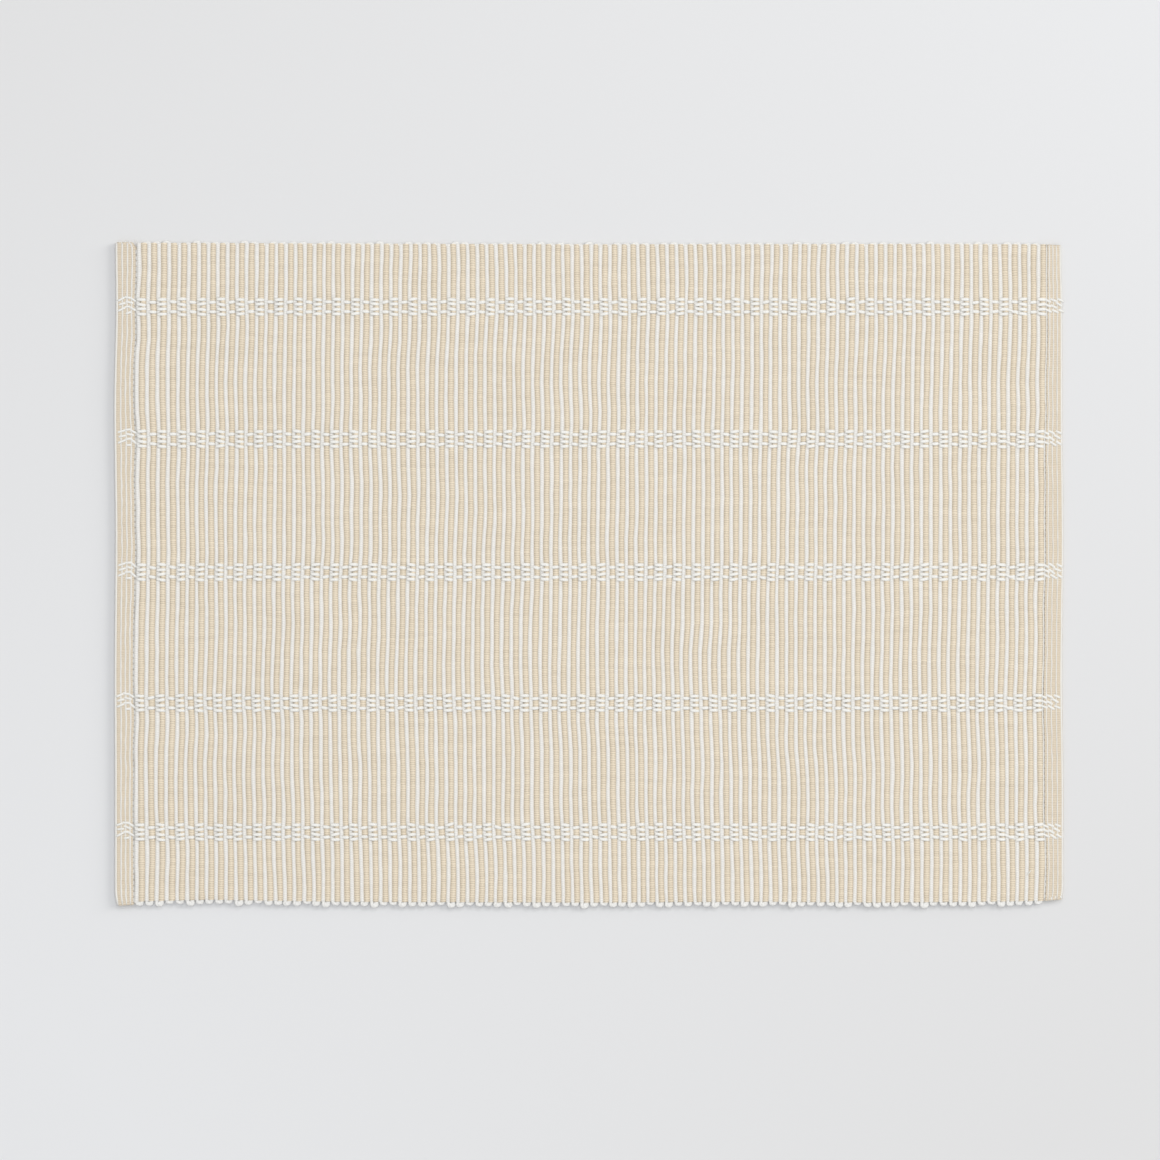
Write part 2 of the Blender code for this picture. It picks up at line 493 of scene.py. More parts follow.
beige_warp = warp_sheet("beige_warp", white=False)
beige_warp.data.materials.append(beige_cotton)
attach(beige_warp, "root")
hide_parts("placemat_cloth")

# The white warp
# Undyed cotton threads, one beside each beige one. They rise over the thin filling cords,
# which makes the narrow white ribs, and pass under the thick ones.
# The undyed cotton's painted shade between two threads, and its lit colour on their backs.
WHITE_SHADED = (0.753, 0.738, 0.707, 1.0)
WHITE_LIT = (0.870, 0.856, 0.824, 1.0)

white_cotton = cotton_material(
    "undyed cotton", WHITE_SHADED, WHITE_LIT,
    shift=0.5, streaks=0.20, fibres=0.30, relief=0.55, groove_shade=0.8,
)

white_warp = warp_sheet("white_warp", white=True)
white_warp.data.materials.append(white_cotton)
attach(white_warp, "root")

# The filling cords' loops
# One undyed cord zigzags through the whole cloth. It comes out of a thick beige rib at the
# woven edge, spreads as it turns back and goes into the thin white rib beside it.
LOWER_LOOP_REACH = 0.0027
UPPER_LOOP_REACH = 0.0010
LOWER_UNEVENNESS = 0.36
UPPER_UNEVENNESS = 0.75
THICK_END = (0.00112, 0.00104)  # half the cord's width, and half its height
THIN_END = (0.00074, 0.00074)
CORD_SIDES = 10
CORD_RINGS = 15
LOOP_INSIDE = 0.0045  # how far the turned cord shows inside its ribs, from the end
LOOP_LEG = 0.25  # share of its path that runs straight, in each of its two ribs
LOOP_TURNS_AT = -0.0004  # outwards from the woven edge, or less where the loop is short
LEAST_TURN = 0.0006
LOOP_SKEW = 0.0010
LOOP_DIP = 0.00015
LOOP_WAVES = (2.7, 1.3)  # radians from one loop to the next
# The cord's painted shade between its plies, and its lit colour on them.
CORD_SHADED = (0.74, 0.73, 0.705, 1.0)
CORD_LIT = (0.835, 0.825, 0.80, 1.0)
YARN_FIBRE_RELIEF = 0.15
MILLIMETRES = 1000.0  # in a metre


def loop_size(pair, unevenness):
    """A rib pair's loop against the mean one, as uneven as a turned cord lies."""
    first, second = LOOP_WAVES
    return 1.0 + unevenness * math.sin(first * pair) * math.cos(second * pair)


def add_strand(bm, points, sizes, sides):
    """Adds a closed strand along points. sizes are half its width and half its height."""
    across_map = bm.loops.layers.uv.verify()
    rings = []
    lengths = [0.0]
    for first, second in zip(points, points[1:]):
        lengths.append(lengths[-1] + (second - first).length)
    for number, place in enumerate(points):
        before = points[max(number - 1, 0)]
        after = points[min(number + 1, len(points) - 1)]
        forward = (after - before).normalized()
        side = forward.cross(Vector((0.0, 0.0, 1.0))).normalized()
        up = side.cross(forward)
        width, height = sizes[number]
        ring = []
        for step in range(sides):
            angle = 2.0 * math.pi * step / sides
            beside = place + side * (width * math.cos(angle))
            ring.append(bm.verts.new(beside + up * (height * math.sin(angle))))
        rings.append(ring)
    for number, (ring, following) in enumerate(zip(rings, rings[1:])):
        for step in range(sides):
            other = (step + 1) % sides
            face = bm.faces.new((ring[other], ring[step], following[step], following[other]))
            face.smooth = True
            places = ((number, step + 1), (number, step), (number + 1, step), (number + 1, step + 1))
            for loop, (ring_number, side_number) in zip(face.loops, places):
                along = lengths[ring_number] * MILLIMETRES
                loop[across_map].uv = (along, side_number / sides)
    for ring, place, turned in ((rings[0], points[0], False), (rings[-1], points[-1], True)):
        tip = bm.verts.new(place)
        for step in range(sides):
            other = (step + 1) % sides
            corners = (ring[step], ring[other], tip)
            face = bm.faces.new(corners[::-1] if turned else corners)
            face.smooth = True


def strands_piece(name, bm, material):
    """Makes a piece of all the strands in bm."""
    mesh = bpy.data.meshes.new(name)
    bmesh.ops.recalc_face_normals(bm, faces=bm.faces)
    bm.to_mesh(mesh)
    bm.free()
    piece = bpy.data.objects.new(name, mesh)
    bpy.context.scene.collection.objects.link(piece)
    mesh.materials.append(material)
    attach(piece, "root")
    return piece


def twisted_yarn_group():
    """A yarn of twisted plies, on its own map: U runs along it in millimetres, V round it. Its shade is
    painted between the plies.
    """
    group, given, result = blank_group(
        "twisted yarn",
        (
            ("Place On Yarn", "NodeSocketVector", None),
            ("Position", "NodeSocketVector", None),
            ("Plies", "NodeSocketFloat", 3.0),
            ("Twist", "NodeSocketFloat", 1.1),
            ("Fibres", "NodeSocketFloat", 0.25),
        ),
        ("Shade", "Relief"),
    )
    split = add_node(group, "ShaderNodeSeparateXYZ", {}, {"Vector": given.outputs["Place On Yarn"]})
    round_it = add_node(
        group, "ShaderNodeMath", {"operation": "MULTIPLY"},
        {0: split.outputs["Y"], 1: given.outputs["Plies"]},
    )
    turned = add_node(
        group, "ShaderNodeMath", {"operation": "MULTIPLY_ADD"},
        {0: split.outputs["X"], 1: given.outputs["Twist"], 2: round_it.outputs[0]},
    )
    half_turn = add_node(
        group, "ShaderNodeMath", {"operation": "MULTIPLY"}, {0: turned.outputs[0], 1: math.pi}
    )
    wave = add_node(group, "ShaderNodeMath", {"operation": "SINE"}, {0: half_turn.outputs[0]})
    size = add_node(group, "ShaderNodeMath", {"operation": "ABSOLUTE"}, {0: wave.outputs[0]})
    # The plies' round backs give the relief, and painted shade between the plies in the colour.
    plies = add_node(group, "ShaderNodeMath", {"operation": "POWER"}, {0: size.outputs[0], 1: 0.5})
    fibre = add_node(
        group, "ShaderNodeTexNoise", {},
        {"Vector": given.outputs["Position"], "Scale": 2200.0, "Detail": 2.0, "Roughness": 0.6},
    )
    fibre_part = add_node(
        group, "ShaderNodeMapRange", {"clamp": False},
        {"Value": fibre.outputs["Fac"], "From Min": 0.25, "From Max": 0.75,
         "To Min": -1.0, "To Max": 1.0},
    )
    shade = add_node(
        group, "ShaderNodeMath", {"operation": "MULTIPLY_ADD", "use_clamp": True},
        {0: fibre_part.outputs[0], 1: given.outputs["Fibres"], 2: plies.outputs[0]},
    )
    relief = add_node(
        group, "ShaderNodeMath", {"operation": "MULTIPLY_ADD"},
        {0: fibre_part.outputs[0], 1: YARN_FIBRE_RELIEF, 2: plies.outputs[0]},
    )
    group.links.new(shade.outputs[0], result.inputs["Shade"])
    group.links.new(relief.outputs[0], result.inputs["Relief"])
    return group


twisted_yarn = twisted_yarn_group()


def yarn_material(name, shaded, crest, plies, twist, relief):
    """Matt twisted cotton yarn on a strand's own map, its colour running from painted shade between the
    plies to the lit crest colour on them.
    """
    material = bpy.data.materials.new(name)
    material.use_nodes = True
    tree = material.node_tree
    shader = tree.nodes["Principled BSDF"]
    place = add_node(tree, "ShaderNodeTexCoord")
    yarn = add_node(
        tree, "ShaderNodeGroup", {"node_tree": twisted_yarn},
        {
            "Place On Yarn": place.outputs["UV"],
            "Position": place.outputs["Object"],
            "Plies": plies,
            "Twist": twist,
        },
    )
    colour = add_node(
        tree, "ShaderNodeMix", {"data_type": "RGBA"}, {0: yarn.outputs["Shade"], 6: shaded, 7: crest}
    )
    rough = add_node(
        tree, "ShaderNodeMapRange", {},
        {"Value": yarn.outputs["Shade"], "To Min": 1.0, "To Max": 0.84},
    )
    bump = add_node(
        tree, "ShaderNodeBump", {},
        {"Height": yarn.outputs["Relief"], "Strength": relief, "Distance": 0.00015},
    )
    tree.links.new(colour.outputs[2], shader.inputs["Base Color"])
    tree.links.new(rough.outputs[0], shader.inputs["Roughness"])
    tree.links.new(bump.outputs[0], shader.inputs["Normal"])
    shader.inputs["Specular IOR Level"].default_value = COTTON_SHINE
    return material


cord_yarn = yarn_material(
    "undyed cord", CORD_SHADED, CORD_LIT, plies=3.0, twist=0.55, relief=0.5
)


def loop_path(pair, at_top):
    """A loop's points and sizes, from inside the beige rib round to inside the white one."""
    beige_x = rib_x(pair + WHITE_SHARE + (1.0 - WHITE_SHARE) / 2.0)
    white_pair = pair + 1 if at_top else pair
    white_x = rib_x(white_pair + WHITE_SHARE / 2.0)
    outward = 1.0 if at_top else -1.0
    edge = woven_edge((beige_x + white_x) / 2.0)
    edge_y = edge.upper if at_top else edge.lower
    if at_top:
        reach = UPPER_LOOP_REACH * loop_size(pair, UPPER_UNEVENNESS)
    else:
        reach = LOWER_LOOP_REACH * loop_size(pair, LOWER_UNEVENNESS)
    mean_width = (THICK_END[0] + THIN_END[0]) / 2.0
    spread = max(reach / 2.0 - mean_width, 0.0)  # flattened where it turns back
    depth = reach - mean_width - spread
    straight = min(LOOP_TURNS_AT, depth - LEAST_TURN)
    skew = LOOP_SKEW * noise.noise(Vector((pair * 1.37, 2.5 if at_top else 8.5, 0.5)))
    points = []
    sizes = []
    for step in range(CORD_RINGS):
        share = step / (CORD_RINGS - 1)
        turned = 0.0
        if share < LOOP_LEG:
            x = beige_x
            y = -LOOP_INSIDE + (LOOP_INSIDE + straight) * share / LOOP_LEG
        elif share > 1.0 - LOOP_LEG:
            x = white_x
            y = straight - (LOOP_INSIDE + straight) * (share - 1.0 + LOOP_LEG) / LOOP_LEG
        else:
            angle = math.pi * (share - LOOP_LEG) / (1.0 - 2.0 * LOOP_LEG)
            turned = math.sin(angle)
            aside = math.copysign(abs(math.cos(angle)) ** 0.75, math.cos(angle))
            x = (beige_x + white_x) / 2.0 + (beige_x - white_x) / 2.0 * aside + skew * turned
            y = straight + (depth - straight) * turned**0.45
        mix = share * share * (3.0 - 2.0 * share)
        width = THICK_END[0] + (THIN_END[0] - THICK_END[0]) * mix + spread * turned
        height = THICK_END[1] + (THIN_END[1] - THICK_END[1]) * mix
        z = max(MIDDLE_HEIGHT - LOOP_DIP * math.sin(math.pi * share), height)
        points.append(placed(x, edge_y + outward * y, z))
        sizes.append((width, height))
    return points, sizes


bm = bmesh.new()
for pair in range(RIB_PAIRS):
    add_strand(bm, *loop_path(pair, False), CORD_SIDES)
    if pair < RIB_PAIRS - 1:
        add_strand(bm, *loop_path(pair, True), CORD_SIDES)
filling_loops = strands_piece("filling_loops", bm, cord_yarn)

# The float bands
# Five bands across the mat. In each, white warp threads pass on top of the beige ribs, four
# over one rib and two over the next, and go back under in the groove beyond it.
BAND_PLACES = (0.1409, 0.0711, 0.0009, -0.0682, -0.1363)
FOUR_FLOATS = (0.00385, 0.00125, -0.00130, -0.00385)
TWO_FLOATS = (0.00245, -0.00265)
FLOAT_HALF_WIDTH = 0.00092
FLOAT_HALF_HEIGHT = 0.00024
FLOAT_CREST = 0.00290
FLOAT_SIDES = 6
FLOAT_RINGS = 8
FLOAT_SLIP = 0.00022
FLOAT_SLANT = 0.00085
FLOAT_RISE = 0.00012
FLOAT_END_HEIGHT = 0.0020
FLOAT_END = 0.99  # share of a rib pair
# The floats' painted shade between their plies, and their lit colour on them.
FLOAT_SHADED = (0.80, 0.785, 0.75, 1.0)
FLOAT_LIT = (0.86, 0.85, 0.815, 1.0)

float_yarn = yarn_material(
    "undyed floats", FLOAT_SHADED, FLOAT_LIT, plies=2.0, twist=0.8, relief=0.3
)


def float_path(start, end, start_height, end_height, crest_height):
    """A float's points and sizes, bowed over a rib from one place to another."""
    points = []
    sizes = []
    for step in range(FLOAT_RINGS):
        share = step / (FLOAT_RINGS - 1)
        place = Vector(start).lerp(Vector(end), share)
        low = start_height + (end_height - start_height) * share
        bow = math.sin(math.pi * share) ** 0.5
        points.append(placed(place.x, place.y, low + (crest_height - low) * bow))
        slim = 0.72 + 0.28 * bow
        sizes.append((FLOAT_HALF_WIDTH * slim, FLOAT_HALF_HEIGHT * slim))
    return points, sizes


def float_at(bm, pair, band_y, offset, from_share, start_height):
    """One float over a rib pair, a little slanted and out of line as hand-pulled yarn is."""
    slip = FLOAT_SLIP * noise.noise(Vector((pair * 3.1, band_y * 90.0, offset * 1500.0)))
    slant = FLOAT_SLANT * noise.noise(Vector((pair * 2.3, band_y * 70.0, offset * 1100.0 + 9.0)))
    rise = FLOAT_RISE * noise.noise(Vector((pair * 1.9, band_y * 50.0, offset * 900.0 + 4.0)))
    y = band_y + offset + slip * 2.0
    start = (rib_x(pair + from_share), y + slant, 0.0)
    end = (rib_x(pair + FLOAT_END), y - slant, 0.0)
    crest = FLOAT_CREST + rise
    add_strand(bm, *float_path(start, end, start_height, FLOAT_END_HEIGHT, crest), FLOAT_SIDES)


bm = bmesh.new()
for band_y in BAND_PLACES:
    for pair in range(RIB_PAIRS):
        if pair % 2 == 0:
            for offset in FOUR_FLOATS:
                float_at(bm, pair, band_y, offset, from_share=0.02, start_height=0.0020)
        else:
            for offset in TWO_FLOATS:
                float_at(bm, pair, band_y, offset, from_share=0.24, start_height=0.0023)
floats = strands_piece("warp_floats", bm, float_yarn)

# The two end hems
# At each end the cloth is woven with four fine ribs, then folded under twice and sewn down,
# so a hem is a flat strip of three layers with its raw edge shut inside.
HEM_WIDTH = 0.0100
HEM_CREST = 0.00215
HEM_GROOVE = 0.0018
LEFT_HEM_LINES = (0.0006, 0.0024, 0.0048, 0.0073, 0.0100)  # from the ribs outwards
RIGHT_HEM_LINES = (0.0006, 0.0020, 0.0043, 0.0067, 0.0091)
STITCHED_GROOVE = 0.0008  # left open beside the ribs, for the stitches
HEM_TOP_END = 0.0096  # where the fold's outline goes on from the upper face
HEM_TOP_STEPS = 34
HEM_ROWS = 72
HEM_LAST_ROWS = (0.982, 0.990, 1.0)  # shares of the half width, by the notch
HEM_CRIMP = 0.06  # of its height, either way
# The hem cotton's painted shade between two threads, and its lit colour on their backs.
HEM_SHADED = (0.535, 0.459, 0.353, 1.0)
HEM_LIT = (0.728, 0.633, 0.502, 1.0)
RIGHT_HEM_SHARE = 0.97  # of the left hem's width
NOTCH_BELOW = 0.1718
NOTCH_ABOVE = 0.1750
NOTCH_WIDTH = 0.0022
NOTCHED = 0.0040  # how far the notch is felt across the hem

# The fold's outline below the ribs, from the outer edge round to the inner one. out is the
# distance from the first rib, and up the height above the floor.
Turn = namedtuple("Turn", "out up")
HEM_FOLD = (
    Turn(0.00990, 0.00165),
    Turn(0.01005, 0.00120),
    Turn(0.00998, 0.00068),
    Turn(0.00970, 0.00022),
    Turn(0.00920, 0.00000),
    Turn(0.00070, 0.00000),
    Turn(0.00025, 0.00022),
    Turn(0.00010, 0.00063),
    Turn(0.00025, 0.00106),
    Turn(0.00070, 0.00124),
    Turn(0.00800, 0.00124),
    Turn(0.00830, 0.00112),
    Turn(0.00830, 0.00084),
    Turn(0.00800, 0.00072),
    Turn(0.00120, 0.00072),
    Turn(0.00102, 0.00063),
    Turn(0.00120, 0.00054),
    Turn(0.00870, 0.00054),
    Turn(0.00910, 0.00068),
    Turn(0.00924, 0.00098),
    Turn(0.00910, 0.00128),
    Turn(0.00870, 0.00142),
    Turn(0.00110, 0.00142),
    Turn(0.00092, 0.00158),
)


def hem_profile(out, left):
    """The height of a hem's ribbed upper face at a distance from the ribs."""
    lines = LEFT_HEM_LINES if left else RIGHT_HEM_LINES
    for start, end in zip(lines, lines[1:]):
        if out <= end:
            share = (out - start) / (end - start)
            return HEM_GROOVE + (HEM_CREST - HEM_GROOVE) * abs(math.sin(math.pi * share)) ** 0.5
    return HEM_GROOVE - 0.0001


def hem_x(out, left):
    """Where a hem's point lies along the mat before it leans."""
    if left:
        return rib_x(0) - out * (rib_x(0) + LENGTH / 2) / HEM_WIDTH
    return rib_x(RIB_PAIRS) + out * (LENGTH / 2 - rib_x(RIB_PAIRS)) / HEM_WIDTH


def hem_outline(left):
    """A hem's whole outline, from the ribs outwards over the top and back below."""
    steps = HEM_TOP_STEPS
    wide = HEM_TOP_END - STITCHED_GROOVE
    top = [STITCHED_GROOVE + wide * step / steps for step in range(steps + 1)]
    outline = [Turn(out, hem_profile(out, left)) for out in top] + list(HEM_FOLD)
    if left:
        return outline
    return [Turn(turn.out * RIGHT_HEM_SHARE, turn.up) for turn in outline]


def hem_y(out, left, across):
    """Where a hem's row lies across the mat."""
    edge = woven_edge(hem_x(out, left))
    return across * (edge.upper if across > 0 else -edge.lower)


def narrowed(out, left, y):
    """The left hem draws away from the first rib at its upper end, and leaves a notch."""
    if not left or y < NOTCH_BELOW:
        return out
    opened = min((y - NOTCH_BELOW) / (NOTCH_ABOVE - NOTCH_BELOW), 1.0)
    return out + NOTCH_WIDTH * opened * max(1.0 - out / NOTCHED, 0.0)


def hem_piece(name, left):
    """One folded hem, as a closed strip along the mat's end."""
    outline = hem_outline(left)
    bm = bmesh.new()
    rings = []
    rows = [-1.0 + 2.0 * row / HEM_ROWS for row in range(HEM_ROWS)] + list(HEM_LAST_ROWS)
    for across in rows:
        ring = []
        for turn in outline:
            y = hem_y(turn.out, left, across)
            crimp = 1.0 + HEM_CRIMP * wander(turn.out * 3.0, y, 0.004, 2.0 if left else 4.0)
            outer = turn.out / HEM_WIDTH
            x = hem_x(narrowed(turn.out, left, y), left)
            place = placed(x, y, turn.up * crimp, max(outer, 0.0))
            ring.append(bm.verts.new(place))
        rings.append(ring)
    count = len(outline)
    for ring, following in zip(rings, rings[1:]):
        for step in range(count):
            other = (step + 1) % count
            face = bm.faces.new((ring[step], ring[other], following[other], following[step]))
            face.smooth = True
    bm.faces.new(rings[0])
    bm.faces.new(rings[-1])
    bmesh.ops.recalc_face_normals(bm, faces=bm.faces)
    mesh = bpy.data.meshes.new(name)
    bm.to_mesh(mesh)
    bm.free()
    piece = bpy.data.objects.new(name, mesh)
    bpy.context.scene.collection.objects.link(piece)
    bpy.ops.object.select_all(action="DESELECT")
    piece.select_set(True)
    bpy.context.view_layer.objects.active = piece
    bpy.ops.object.shade_smooth_by_angle(angle=math.radians(60.0))
    return piece


hem_cotton = cotton_material(
    "hem cotton", HEM_SHADED, HEM_LIT,
    shift=0.0, streaks=0.15, fibres=0.50, relief=0.5, groove_shade=0.0,
)
hems = []
for name, left in (("left_hem", True), ("right_hem", False)):
    hem = hem_piece(name, left)
    hem.data.materials.append(hem_cotton)
    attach(hem, "root")
    hems.append(hem)

# The hems' fine white ribs
# Between a hem's beige ribs a few white threads come up as thin pale lines, and the fold
# shows white along the mat's outer edge.
LEFT_LINE_SIZE = (0.00047, 0.00032)
RIGHT_LINE_SIZE = (0.00034, 0.00028)
LEFT_EDGE_SIZE = (0.00092, 0.00078)
RIGHT_EDGE_SIZE = (0.00062, 0.00055)
LEFT_EDGE_LIFT = 0.0013
RIGHT_EDGE_LIFT = 0.0015
LINE_LIFT = 0.00022  # above the grooves
LINE_UNEVENNESS = 0.40
EDGE_UNEVENNESS = 0.08
LINE_ENDS = 0.998  # share of the mat's half width
# The pale lines' painted shade between their plies, and their lit colour on them.
LINE_SHADED = (0.68, 0.66, 0.62, 1.0)
LINE_LIT = (0.83, 0.81, 0.77, 1.0)

hem_yarn = yarn_material(
    "undyed hem yarn", LINE_SHADED, LINE_LIT, plies=2.0, twist=0.9, relief=0.3
)


def hem_line(out, left):
    """A pale line's points and sizes along a hem, at a distance from the ribs."""
    lift = HEM_GROOVE + LINE_LIFT
    width, height = LEFT_LINE_SIZE if left else RIGHT_LINE_SIZE
    uneven = LINE_UNEVENNESS
    if out == (LEFT_HEM_LINES if left else RIGHT_HEM_LINES)[-1]:
        lift = LEFT_EDGE_LIFT if left else RIGHT_EDGE_LIFT
        width, height = LEFT_EDGE_SIZE if left else RIGHT_EDGE_SIZE
        uneven = EDGE_UNEVENNESS
    points = []
    sizes = []
    for row in range(2 * HEM_ROWS + 1):
        across = -LINE_ENDS + 2.0 * LINE_ENDS * row / (2 * HEM_ROWS)
        y = hem_y(out, left, across)
        wobble = 0.0006 * uneven * wander(out * 9.0, y, 0.005, 8.0)
        x = hem_x(narrowed(out + wobble, left, y), left)
        points.append(placed(x, y, lift, out / HEM_WIDTH))
        swell = 1.0 + uneven * wander(out * 7.0, y, 0.0035, 6.0)
        sizes.append((width * swell, height * swell))
    return points, sizes


bm = bmesh.new()
for out in LEFT_HEM_LINES[1:]:
    add_strand(bm, *hem_line(out, True), 6)
for out in (0.0001,) + RIGHT_HEM_LINES[1:]:
    add_strand(bm, *hem_line(out, False), 6)
hem_ribs = strands_piece("hem_white_ribs", bm, hem_yarn)

# The hems' stitches
# A row of lockstitches in undyed sewing thread holds each hem down, along its inner edge. The thread is
# coloured grey, partly as painted shade of the groove it lies in.
# It lies in the groove beside the first rib, on the upper face and on the underside.
STITCH_LENGTH = 0.0030
STITCH_GAP = 0.0004
STITCH_SIZE = (0.00034, 0.00016)
STITCH_POINTS = 5
STITCHES_INSET = 0.001  # from the woven edges
UPPER_STITCHES_OUT = 0.0006  # from the ribs
LOWER_STITCHES_OUT = 0.0012
# The sewing thread's painted shade between its plies, and its lit colour on them.
THREAD_SHADED = (0.56, 0.555, 0.54, 1.0)
THREAD_LIT = (0.74, 0.735, 0.72, 1.0)

thread_yarn = yarn_material(
    "sewing thread", THREAD_SHADED, THREAD_LIT, plies=2.0, twist=2.2, relief=0.4
)


def stitch_path(x, y, top):
    """One stitch, pulled into the cloth at both of its ends."""
    points = []
    sizes = []
    for step in range(STITCH_POINTS):
        share = step / (STITCH_POINTS - 1)
        pulled = 1.0 - math.sin(math.pi * share) ** 0.5
        along = y + (STITCH_LENGTH - STITCH_GAP) * share
        height = 0.0016 - 0.0002 * pulled if top else 0.00018 + 0.0003 * pulled
        points.append(placed(x, along, height))
        sizes.append(STITCH_SIZE)
    return points, sizes


bm = bmesh.new()
for left in (True, False):
    x = hem_x(UPPER_STITCHES_OUT, left)
    edge = woven_edge(x)
    count = int((edge.upper - edge.lower - 2.0 * STITCHES_INSET) / STITCH_LENGTH)
    for number in range(count):
        y = edge.lower + STITCHES_INSET + number * STITCH_LENGTH
        if not left or y < NOTCH_BELOW - STITCH_LENGTH:
            add_strand(bm, *stitch_path(x, y, True), 6)
        add_strand(bm, *stitch_path(hem_x(LOWER_STITCHES_OUT, left), y, False), 6)
stitches = strands_piece("hem_stitches", bm, thread_yarn)

# The floats on the hems
# The bands run on over the two hems. On the left one the threads arch twice, one arch above
# the other, and on the right one they slant down side by side to the edge. out is the
# distance from the ribs, and y the distance from the band's middle.
HemFloat = namedtuple("HemFloat", "out_start y_start out_end y_end")
LEFT_HEM_FLOATS = (
    HemFloat(0.0001, 0.0029, 0.0030, 0.0050),
    HemFloat(0.0026, 0.0050, 0.0058, 0.0049),
    HemFloat(0.0054, 0.0048, 0.0090, 0.0033),
    HemFloat(0.0012, 0.0018, 0.0052, 0.0030),
    HemFloat(0.0050, 0.0019, 0.0086, 0.0012),
    HemFloat(0.0001, -0.0022, 0.0032, 0.0002),
    HemFloat(0.0028, 0.0002, 0.0056, -0.0001),
    HemFloat(0.0052, -0.0004, 0.0090, -0.0022),
    HemFloat(0.0022, -0.0030, 0.0052, -0.0033),
)
RIGHT_HEM_FLOATS = (
    HemFloat(-0.0006, 0.0039, 0.0026, 0.0024),
    HemFloat(0.0022, 0.0044, 0.0058, 0.0026),
    HemFloat(0.0052, 0.0022, 0.0090, 0.0002),
    HemFloat(-0.0006, 0.0013, 0.0028, -0.0001),
    HemFloat(0.0022, 0.0012, 0.0058, -0.0008),
    HemFloat(-0.0006, -0.0012, 0.0030, -0.0028),
    HemFloat(0.0030, -0.0014, 0.0068, -0.0034),
    HemFloat(0.0062, 0.0042, 0.0096, 0.0028),
    HemFloat(0.0066, -0.0012, 0.0097, -0.0030),
    HemFloat(-0.0225, -0.0012, -0.0155, -0.0036),
)
HEM_FLOAT_SIZE = (0.00062, 0.00026)
HEM_FLOAT_CREST = 0.00238
HEM_FLOAT_ENDS = 0.0018  # above the floor
HEM_FLOAT_SLIP = 0.0006

bm = bmesh.new()
for band, band_y in enumerate(BAND_PLACES):
    for left, group in ((True, LEFT_HEM_FLOATS), (False, RIGHT_HEM_FLOATS)):
        for number, item in enumerate(group):
            slip = HEM_FLOAT_SLIP * noise.noise(Vector((band * 2.7, number * 3.3, 6.0 if left else 3.0)))
            start = (hem_x(item.out_start, left), band_y + item.y_start + slip, 0.0)
            end = (hem_x(item.out_end, left), band_y + item.y_end - slip, 0.0)
            crest = HEM_FLOAT_CREST if item.out_end > 0.0 else FLOAT_CREST
            points, sizes = float_path(start, end, HEM_FLOAT_ENDS, HEM_FLOAT_ENDS, crest)
            add_strand(bm, points, [HEM_FLOAT_SIZE] * len(points), FLOAT_SIDES)
hem_floats = strands_piece("hem_floats", bm, float_yarn)

# Loose fibres and thread ends
# Cut thread ends and a few fibres stand out where the hems meet the woven edges, along
# the woven edges, and in one place near the lower right corner.
FIBRE_SIZE = (0.00007, 0.00006)
THREAD_END_SIZE = (0.00030, 0.00024)
TUFT_SIZE = (0.00038, 0.00030)
HEM_FIBRES = 14  # at each end of each hem

# Cut warp ends at two corners: x, y, the angle from the X axis in degrees, and the length
TUFTS = (
    (-0.2484, 0.1744, 75.0, 0.0016),
    (-0.2471, 0.1732, 95.0, 0.0022),
    (-0.2458, 0.1745, 60.0, 0.0015),
    (-0.2430, 0.1740, 110.0, 0.0018),
    (0.2440, -0.1706, -80.0, 0.0020),
    (0.2462, -0.1700, -100.0, 0.0018),
    (0.2488, -0.1702, -70.0, 0.0014),
)


def fibre_path(start, angle, length, seed, size, lift=0.0004):
    """A loose fibre that curls as it leaves the cloth."""
    points = []
    sizes = []
    for step in range(6):
        share = step / 5
        turned = angle + 0.9 * share * noise.noise(Vector((seed, 1.5, 2.5)))
        away = Vector((math.cos(turned), math.sin(turned), 0.0)) * (length * share)
        lifted = lift * math.sin(math.pi * share)
        points.append(Vector(start) + away + Vector((0.0, 0.0, lifted)))
        sizes.append((size[0] * (1.0 - 0.5 * share), size[1] * (1.0 - 0.5 * share)))
    return points, sizes


bm = bmesh.new()
seed = 0
for left in (True, False):
    for across in (-1.0, 1.0):
        for number in range(HEM_FIBRES):
            seed += 1
            out = HEM_WIDTH * (number + 0.5) / HEM_FIBRES
            y = hem_y(out, left, across * 0.998)
            start = placed(hem_x(out, left), y, 0.0009 + 0.0008 * (number % 2), out / HEM_WIDTH)
            outwards = math.copysign(math.pi / 2, across)
            angle = outwards + 0.8 * noise.noise(Vector((seed * 1.3, 0.5, 0.5)))
            length = 0.0012 + 0.0006 * noise.noise(Vector((seed * 2.1, 4.5, 0.5)))
            add_strand(bm, *fibre_path(start, angle, length, seed * 1.7, FIBRE_SIZE), 3)
for at_top in (False, True):
    for pair in range(RIB_PAIRS):
        seed += 1
        share = noise.noise(Vector((seed * 1.9, 3.5, 0.5)))
        x = rib_x(pair + 0.5 + 0.3 * share)
        edge = woven_edge(x)
        y = edge.upper if at_top else edge.lower
        start = placed(x, y, 0.0012)
        angle = (1.0 if at_top else -1.0) * (math.pi / 2 + share)
        length = 0.0020 + 0.0012 * share
        add_strand(bm, *fibre_path(start, angle, length, seed * 1.7, FIBRE_SIZE), 3)
start = placed(0.2312, -0.1590, 0.0024)
add_strand(bm, *fibre_path(start, math.radians(55.0), 0.0038, 5.1, THREAD_END_SIZE, 0.0007), 6)
start = placed(-0.2404, 0.1762, 0.0013)
add_strand(bm, *fibre_path(start, math.radians(-62.0), 0.0030, 8.4, THREAD_END_SIZE, 0.0002), 6)
